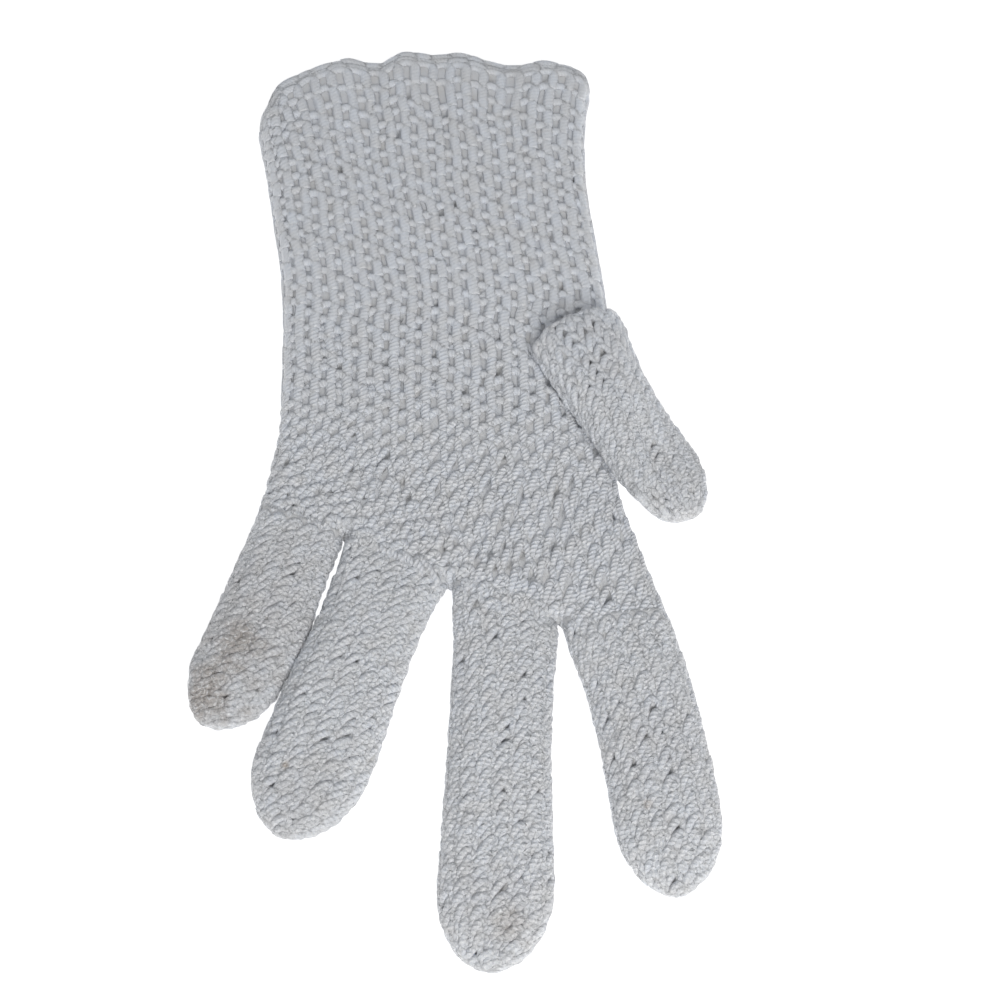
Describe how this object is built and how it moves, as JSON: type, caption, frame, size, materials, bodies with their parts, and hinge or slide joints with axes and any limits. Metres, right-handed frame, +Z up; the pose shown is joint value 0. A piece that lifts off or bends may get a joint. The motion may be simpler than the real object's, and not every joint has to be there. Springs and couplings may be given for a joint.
{
  "type": "knit glove",
  "caption": "White crocheted hand glove lying flat, with a wide cuff and soft wavy hem, closed fingers and a thumb folded over the palm.",
  "frame": {"origin": "bottom centre of the whole glove's bounding box, on the surface it lies on", "axes": "+Z up from the resting surface, -Y towards the fingertips, +Y towards the cuff's hem, +X towards the thumb"},
  "size_m": [0.1174, 0.2258, 0.0169],
  "materials": {
    "cuff": "soft matte cotton yarn, faint thread shine",
    "hand": "soft matte cotton yarn, faint thread shine",
    "finger_little": "soft matte cotton yarn, faint thread shine",
    "finger_ring": "soft matte cotton yarn, faint thread shine",
    "finger_middle": "soft matte cotton yarn, faint thread shine",
    "finger_index": "soft matte cotton yarn, faint thread shine",
    "thumb": "soft matte cotton yarn, faint thread shine"
  },
  "bodies": {
    "root": {"cuff": "cuff", "hand": "hand", "finger_little": "finger_little", "finger_ring": "finger_ring", "finger_middle": "finger_middle", "finger_index": "finger_index", "thumb": "thumb"}
  },
  "joints": []
}
